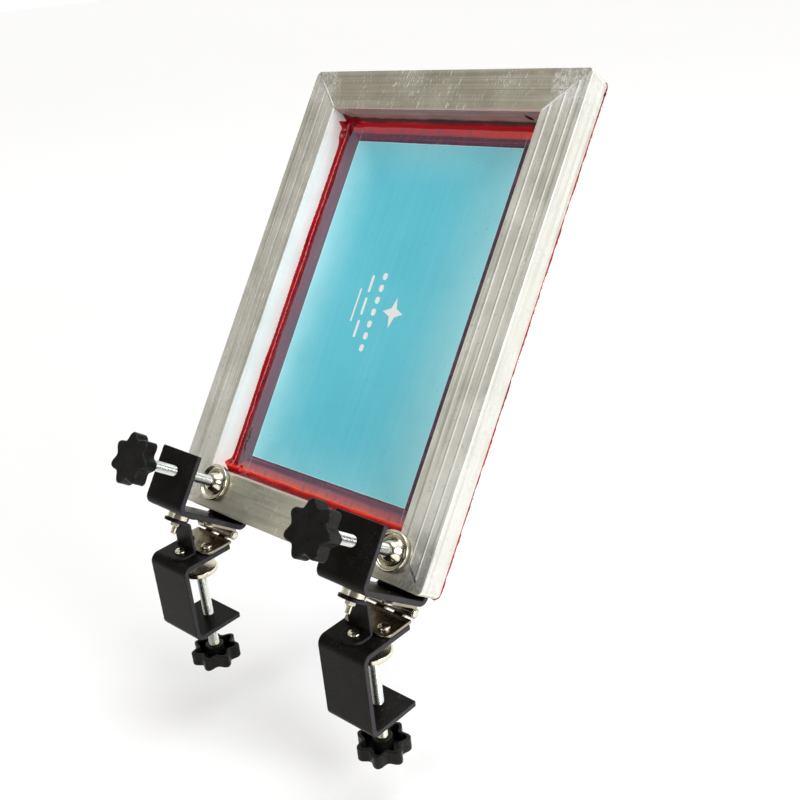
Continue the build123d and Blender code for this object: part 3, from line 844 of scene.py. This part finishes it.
def add_edge_glue():
    """Glue squeezed out along the frame's outer back edge, thin and broken."""
    step = 1.2 * MM
    path = []
    for way in (Vector((1, 0)), Vector((0, 1)), Vector((-1, 0)), Vector((0, -1))):
        outward = Vector((way.y, -way.x))
        half, aside = (HALF_W, HALF_L) if way.x else (HALF_L, HALF_W)
        half -= CORNER
        start = outward * aside - way * half
        path += [(start + way * step * k, outward) for k in range(floor(2 * half / step))]
        centre = outward * (aside - CORNER) + way * half
        for k in range(5):
            direction = Matrix.Rotation(pi / 2 * k / 5, 2) @ outward
            path.append((centre + direction * CORNER, direction))
    vertices = []
    for point, outward in path:
        patch = noise.noise(Vector((point.x * 22, point.y * 22, 4.0)))
        size = ragged(point.x, point.y, 0.5 * MM) * max(0.0, 0.35 + 1.8 * patch) + 0.04 * MM
        size *= 0.3 + 0.7 * bell(HALF_L - point.y, 60 * MM)
        # one tag of glue hangs out near the upper right corner
        size += 1.2 * MM * bell(hypot(point.x - HALF_W, point.y - HALF_L + 9 * MM), 1.8 * MM)
        for k in range(6):
            angle = pi * (k / 5 - 0.5)
            flat = point + outward * (size * cos(angle) - 0.05 * MM)
            vertices.append((flat.x, flat.y, CLOTH_Z + 0.15 * MM + size * 0.8 * sin(angle)))
    rings = [range(k, k + 6) for k in range(0, len(vertices), 6)]
    glue_piece("edge_glue", vertices, skin(rings + rings[:1]), red_glue, 70)


def outline_mesh(name, outlines, half_thick):
    """A flat mesh from closed outlines, the inner ones becoming holes, given a thickness."""
    curve = bpy.data.curves.new(name, "CURVE")
    curve.dimensions = "2D"
    curve.fill_mode = "BOTH"
    curve.extrude = half_thick
    for outline in outlines:
        line = curve.splines.new("POLY")
        line.points.add(len(outline) - 1)
        for point, (x, y) in zip(line.points, outline):
            point.co = (x, y, 0, 1)
        line.use_cyclic_u = True
    holder = new_object(name, curve)
    bpy.context.view_layer.update()
    mesh = bpy.data.meshes.new_from_object(holder.evaluated_get(bpy.context.evaluated_depsgraph_get()))
    bpy.data.objects.remove(holder)
    bpy.data.curves.remove(curve)
    return mesh


def rounded_bar(x, y, wide, tall):
    """A bar with rounded ends, centred on a place; its measures are given in millimetres."""
    radius = min(wide, tall) / 2
    steps = 6
    points = []
    for quarter, (side_x, side_y) in enumerate(((1, 1), (-1, 1), (-1, -1), (1, -1))):
        for step in range(steps + 1):
            angle = pi / 2 * (quarter + step / steps)
            point_x = x + side_x * (wide / 2 - radius) + radius * cos(angle)
            point_y = y + side_y * (tall / 2 - radius) + radius * sin(angle)
            points.append((point_x * MM, point_y * MM))
    return points


def stencil_marks():
    """Plain shapes left open in the coat: a row of blocks, two rules and a four-pointed star."""
    marks = [rounded_bar(-6, 26 - 9.2 * k, 4.2, 5.6) for k in range(7)]
    marks += [rounded_bar(-17, 19 - 17.5 * k, 2.4, 13.5) for k in range(3)]
    marks.append(rounded_bar(-25, 1.5, 1.6, 26))
    star = []
    for k in range(8):
        radius = (3.6 if k % 2 else 9.5) * MM
        star.append((12 * MM + radius * cos(pi * k / 4), 0.5 * MM + 1.25 * radius * sin(pi * k / 4)))
    return marks + [star]


def add_coat():
    """The dried emulsion, which soaks the mesh and stands proud of both its faces."""
    step = 1.5 * MM
    outline = []
    corners = [Vector((x * COAT_W, y * COAT_L)) for x, y in ((-1, -1), (1, -1), (1, 1), (-1, 1))]
    for start, end in zip(corners, corners[1:] + corners[:1]):
        count = floor((end - start).length / step)
        for k in range(count):
            point = start.lerp(end, k / count)
            wave = 0.12 * MM * noise.noise(Vector((point.x * 260, point.y * 260, 1.0)))
            outline.append((point.x + wave, point.y + wave))
    half_thick = (CLOTH + 0.16 * MM) / 2
    mesh = outline_mesh("coat_outline", [outline] + stencil_marks(), half_thick)
    mesh.transform(Matrix.Translation((0, 0, CLOTH_Z - CLOTH / 2 + 0.01 * MM)))
    coat = place_mesh("emulsion_coat", mesh, SCREEN, "screen", blue_coat)
    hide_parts("emulsion")


def glue_string(name, points, wide, flat, finish):
    """A thin run of glue through points in the screen's frame, flattened along one of its axes."""
    per_leg, around = 6, 10
    path = [points[0]]
    for start, end in zip(points, points[1:]):
        path += [start.lerp(end, (k + 1) / per_leg) for k in range(per_leg)]
    last = len(path) - 1
    vertices = []
    for k, centre in enumerate(path):
        share = k / last
        radius = wide * (sin(pi * share) ** 0.6 if 0 < k < last else 0.05)
        radius *= 1 + 0.25 * noise.noise(Vector((share * 7, 2, 2)))
        for step in range(around):
            angle = 2 * pi * step / around
            offset = Vector((radius * cos(angle), 0, 0))
            offset[flat] = 0.6 * radius * max(0.0, sin(angle)) * (1 if flat == 2 else -1)
            vertices.append(centre + offset)
    glue_piece(name, vertices, tube(vertices, around), finish, 70)


def add_glue_strings():
    """A run on the inner face of the top rail, near its right end, and a torn edge low on the left."""
    run = (Vector((80.6 * MM, WINDOW_L, -5.2 * MM)), Vector((83.6 * MM, WINDOW_L, -13.6 * MM)))
    glue_string("glue_run", run, 1.6 * MM, 1, red_glue)
    torn = [(-88.0, -107.0), (-89.0, -112.0), (-87.9, -117.0)]
    torn += [(-89.6, -121.5), (-88.4, -126.0), (-87.8, -131.0)]
    edge = [Vector((x * MM, y * MM, CLOTH_Z)) for x, y in torn]
    glue_string("torn_glue_edge", edge, 1.1 * MM, 2, torn_skin)


def add_welds():
    """A low rippled bead along the inner part of each mitre; the lower two are ground flat."""
    vertices, faces = [], []
    length = half_span("corner_welds", ACROSS) - (WINDOW_W - 2 * MM)
    steps, across = 110, 8
    ripple = 0.85 * MM
    bed = Vector((0, 0, -0.6 * MM))
    for side_x in (-1, 1):
        for side_y in (-1, 1):
            start = Vector((side_x * WINDOW_W, side_y * WINDOW_L, 0))
            out = Vector((side_x, side_y, 0)).normalized()
            side = Vector((-out.y, out.x, 0))
            first = len(vertices)
            for k in range(steps + 1):
                share = k / steps
                along = 0.6 * MM + share * length * 2**0.5
                half = (0.95 + 0.12 * noise.noise(Vector((along * 500, side_x, side_y)))) * MM
                fade = min(1.0, (1 - share) * 5, 0.3 + share * 8) if side_y > 0 else 0.0
                row = []
                for m in range(across + 1):
                    part = m / across * 2 - 1
                    wave = abs(sin(pi * (along / ripple + 0.35 * part * part)))
                    tall = (0.01 + (0.20 + 0.13 * wave) * (1 - part * part) * fade) * MM
                    height = -0.12 * MM if abs(part) == 1 else tall
                    row.append(start + out * along + side * half * part + Vector((0, 0, height)))
                vertices += row + [row[-1] + bed, row[0] + bed]
            faces += tube(vertices, across + 3, first)
    beads = new_piece("weld_beads", vertices, faces, SCREEN, "screen", "weld", weld_metal, 60)
    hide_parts("corner_welds")


# ---------------------------------------------------------------- clamp screws and pads
def threaded_rod(length, radius):
    """An M8 screw along Z: its plain nose, then its thread cut as a real helix."""
    around, per_turn = 36, 10
    pitch = 1.25 * MM
    depth = 0.5 * pitch
    nose, start = 3 * MM, 4 * MM
    rings = ceil((length - start) / pitch * per_turn)
    plain = (0.0, 0.0), (nose * 0.8, 0.0), (nose, 0.4 * MM), (nose, start - 0.3 * MM)
    rows = [[point] * around for point in plain]
    for k in range(rings + 1):
        z = start + (length - start) * k / rings
        taper = min(1.0, 0.45 + (z - start) / (1.5 * pitch))
        row = []
        for step in range(around):
            phase = (z / pitch - step / around) % 1
            groove = max(0.0, 1 - abs(phase - 0.5) / 0.42)
            row.append((radius - depth * min(1.0, groove * 1.15) * taper - (1 - taper) * 0.9 * MM, z))
        rows.append(row)
    return turned(rows + [[(0.0, length)] * around])


def add_clamp_screws():
    """The four M8 clamp screws, each threaded from its nose to its knob."""
    for clamp, way in CLAMPS:
        node, body = f"{clamp}_screw", f"{clamp}_clamp_handle"
        rod = threaded_rod(2 * half_span(node, way), half_span(node, ACROSS))
        matrix = on_axis(node, way)
        screw = new_piece(f"{clamp}_threaded_screw", *rod, matrix, body, "zinc_steel", zinc, 30)
        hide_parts(node)


def add_pads():
    """The four pressed pads: a domed plate with a rolled rim and a socket for the screw's nose."""
    rim = [(-2.0, 0.0), (-0.5, 0.1), (0.0, 0.9), (0.0, 2.8), (-0.1, 3.8), (-0.8, 4.3), (-1.5, 3.8)]
    around = 72
    dish = [(-2.2, 2.7), (-3.2, 2.0), (-4.4, 2.1), (-5.4, 3.0), (-6.4, 4.5), (-7.4, 6.2), (-8.5, 7.5)]
    for clamp, way in CLAMPS:
        node, body = f"{clamp}_pad", f"{clamp}_clamp_foot"
        wide, tall = half_span(node, ACROSS), 2 * half_span(node, way)
        outside = [(0.0, 0.0)] + [(wide + x * MM, z * MM) for x, z in rim + dish]
        outside += [(wide - 9.4 * MM, tall), (3.6 * MM, tall), (3.1 * MM, tall - 0.5 * MM)]
        profile = softened(outside, 3) + [(3.08 * MM, tall - 4.1 * MM), (0.0, tall - 4.1 * MM)]
        plate = turned([[point] * around for point in profile])
        matrix = on_axis(node, way)
        pad = new_piece(f"{clamp}_swivel_pad", *plate, matrix, body, "bright_nickel", bright_nickel, 50)
        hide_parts(node)


HEAD_TALL = 2.3 * MM


def pan_head(turn):
    """An M4 pan head with a cross recess, standing on z = 0, and the shank below it."""
    radius, rim, low_side = 4.3 * MM, 0.15 * MM, 0.9 * MM
    dome, shank, deep = 0.25 * MM, 2.0 * MM, -5.0 * MM
    around = 96
    profile = [(0.0, deep), (shank, deep), (shank, 0.0)]
    profile += [(radius - rim, 0.0), (radius, rim), (radius, low_side)]
    for step in range(1, 7):
        angle = pi / 2 * step / 6
        out = radius - 1.6 * MM * (1 - cos(angle))
        profile.append((out, low_side + (HEAD_TALL - dome - low_side) * sin(angle)))
    edge = profile[-1][0]
    for step in range(1, 21):
        share = 1 - step / 20
        profile.append((edge * share, HEAD_TALL - dome * share**2))
    vertices, faces = turned([[point] * around for point in profile])
    head = []
    for x, y, z in vertices:
        near, off = max(abs(x), abs(y)), min(abs(x), abs(y))
        if z > low_side and off < 0.52 * MM and near < 2.3 * MM - 0.8 * off:
            z -= 1.3 * MM * (1 - near / (2.6 * MM)) + (0.35 * MM if near else 0.0)
        head.append(Matrix.Rotation(turn, 3, "Z") @ Vector((x, y, z)))
    return head, faces


def add_leaf_screws():
    """Cross-recessed screws through the hinge leaves and the magnet tabs."""
    random.seed(5)
    for side in SIDES:
        for kind, direction, places, body in (
            ("lower_leaf_screws", -DOWN, (-1, 1), "base"),
            ("magnet_bracket_screw", -DOWN, (0,), "base"),
            ("upper_leaf_screws", -UP, (-1, 1), f"{side}_swing"),
        ):
            node = f"{side}_{kind}"
            apart = ACROSS * (half_span(node, ACROSS) - 4.0 * MM)
            vertices, faces = [], []
            for place in places:
                head, head_faces = pan_head(random.uniform(0.5, 1.1))
                faces += [[len(vertices) + number for number in face] for face in head_faces]
                vertices += [point + apart * place for point in head]
            matrix = on_axis(node, direction, reach(node, direction)[1] - HEAD_TALL)
            rest = (matrix, body, "bright_nickel", bright_nickel, 32)
            screws = new_piece(f"{node}_heads", vertices, faces, *rest)
            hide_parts(node)


# ---------------------------------------------------------------- studio
def add_floor():
    """A plain pale floor, below where the lower knobs reach when their clamps are opened wide."""
    size = 60.0
    drop = 37 * MM
    low = cad_box[0].z - drop
    points = [(-size, -size, low), (size, -size, low), (size, size, low), (-size, size, low)]
    mesh = bpy.data.meshes.new("floor")
    mesh.from_pydata(points, [], [(0, 1, 2, 3)])
    look = Finish("pale_floor", Roughness=0.9, Emission_Color=(1, 1, 1, 1))
    here = look.place()
    # it glows a little with distance, so that it meets the white room without an edge
    look.give(Emission_Strength=here.length().span(0.4, 2.2, 0.05, 0.32))
    tone = here.cloud(3.0, 2.0).ramp((0.3, (0.86, 0.86, 0.86)), (0.7, (0.88, 0.88, 0.88)))
    mesh.materials.append(look.give(Base_Color=tone))
    new_object("floor", mesh)


def add_lights():
    """A white studio with two dimmer sides, and three soft lamps."""
    world = bpy.data.worlds.new("studio")
    bpy.context.scene.world = world
    world.use_nodes = True
    tree = world.node_tree
    where = Value(tree).node("ShaderNodeTexCoord", "Generated")
    shades = []
    for toward, start, stop, dim in (
        ((-0.62, -0.60, 0.50), 0.30, 0.85, (0.36, 0.35, 0.32)),
        ((0.65, -0.64, 0.41), 0.55, 0.80, (0.14, 0.13, 0.12)),
    ):
        steps = {0: where, 1: Vector(toward).normalized()}
        facing = where.node("ShaderNodeVectorMath", "Value", steps, operation="DOT_PRODUCT")
        shades.append(facing.ramp((start, 1.0), (stop, dim)))
    both = where.node("ShaderNodeVectorMath", "Vector", enumerate(shades), operation="MULTIPLY")
    # the dim sides show only in reflections and shading; behind the object the room is plain white
    seen = where.node("ShaderNodeLightPath", "Is Camera Ray")
    background = tree.nodes["Background"].inputs
    wire(tree, both.mix(seen, (1.0, 1.0, 1.0)), background["Color"])
    wire(tree, 1.22, background["Strength"])
    centre = (cad_box[0] + cad_box[1]) / 2
    for name, offset, size, power in (
        ("side_light", Vector((1.75, -0.05, 0.62)), 0.9, 28.0),
        ("top_light", Vector((0.3, 0.4, 1.7)), 1.0, 10.0),
        ("front_light", Vector((-0.2, -1.5, 1.2)), 0.6, 5.0),
    ):
        lamp = bpy.data.lights.new(name, "AREA")
        lamp.size = size
        lamp.energy = power
        holder = new_object(name, lamp)
        holder.location = centre + offset
        holder.rotation_euler = (-offset).to_track_quat("-Z", "Y").to_euler()


def add_camera():
    """The camera, by the direction that it looks from, its roll, and the point that it looks at."""
    azimuth, elevation, roll = radians(45.46), radians(24.10), radians(-6.31)
    aim = Vector((16.1, 116.5, 90.0)) * MM
    distance = 740.3 * MM
    back = Vector((sin(azimuth) * cos(elevation), -cos(azimuth) * cos(elevation), sin(elevation)))
    level = Vector((0, 0, 1)).cross(back).normalized()
    right = level * cos(roll) + back.cross(level) * sin(roll)
    data = bpy.data.cameras.new("camera")
    data.lens = 46.74
    data.sensor_width = 36.0
    data.shift_x = 0.0378
    data.shift_y = 0.0353
    data.clip_start = 0.02
    camera = new_object("camera", data)
    camera.matrix_world = axes_at(aim + back * distance, right, back.cross(right), back)
    bpy.context.scene.camera = camera
    bpy.context.scene.view_settings.view_transform = "Standard"


# ---------------------------------------------------------------- making it
add_camera()
add_lights()
add_floor()
finish_cad_nodes()
stretched_mesh = add_cloth()
thread_ends = add_thread_ends()
2 * HALF_W
2 * HALF_L
add_glue()
add_edge_glue()
add_coat()
add_glue_strings()
add_welds()
add_clamp_screws()
add_pads()
add_leaf_screws()
